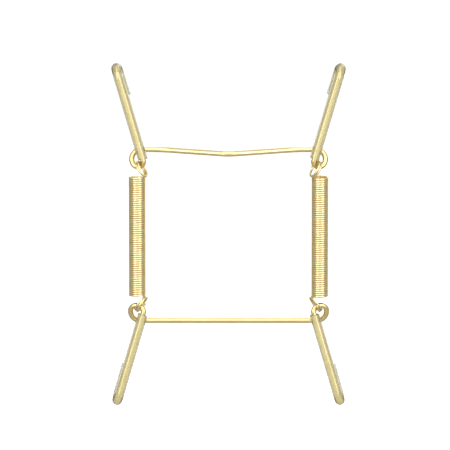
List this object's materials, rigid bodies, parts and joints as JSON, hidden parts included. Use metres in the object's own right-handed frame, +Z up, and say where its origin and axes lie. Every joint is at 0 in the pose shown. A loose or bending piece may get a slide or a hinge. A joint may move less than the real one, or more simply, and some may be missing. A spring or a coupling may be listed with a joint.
{
  "type": "wire plate hanger",
  "caption": "Sprung wire hanger for a wall plate: an upper and a lower bent wire frame with clear tubes on the hooked arms, drawn together by coil springs.",
  "frame": {"origin": "nail seat: the underside of the upper crossbar's wire at the point of its V", "axes": "+X to the right seen from the wall, +Y towards the plate, +Z up"},
  "size_m": [0.0712, 0.0194, 0.1057],
  "materials": {
    "frame_wire": "bright brass-finished wire",
    "spring_wire": "bright brass-finished spring wire",
    "clear_vinyl": "clear, faintly yellow vinyl tube"
  },
  "bodies": {
    "upper_frame": {"upper_frame_wire": "frame_wire", "upper_left_sleeve": "clear_vinyl", "upper_right_sleeve": "clear_vinyl"},
    "spring_upper_ends": {"left_spring": "spring_wire"},
    "spring_lower_ends": {"right_spring": "spring_wire"},
    "lower_frame": {"lower_frame_wire": "frame_wire", "lower_left_sleeve": "clear_vinyl", "lower_right_sleeve": "clear_vinyl"}
  },
  "joints": [
    {"name": "upper_eye_tilt", "type": "hinge", "parent": "upper_frame", "child": "spring_upper_ends", "pos_m": [0, 0.00647, -0.0042], "axis": [1, 0, 0], "range_deg": [-15, 20]},
    {"name": "spring_stretch", "type": "slide", "parent": "spring_upper_ends", "child": "spring_lower_ends", "axis": [0, 0, -1], "range_m": [0, 0.067], "stiffness_N_per_m": 683, "springref_m": -0.003, "deforming": ["left_spring", "right_spring"]},
    {"name": "lower_eye_tilt", "type": "hinge", "parent": "spring_lower_ends", "child": "lower_frame", "pos_m": [0, 0.00647, -0.04707], "axis": [1, 0, 0], "range_deg": [-25, 25]}
  ]
}
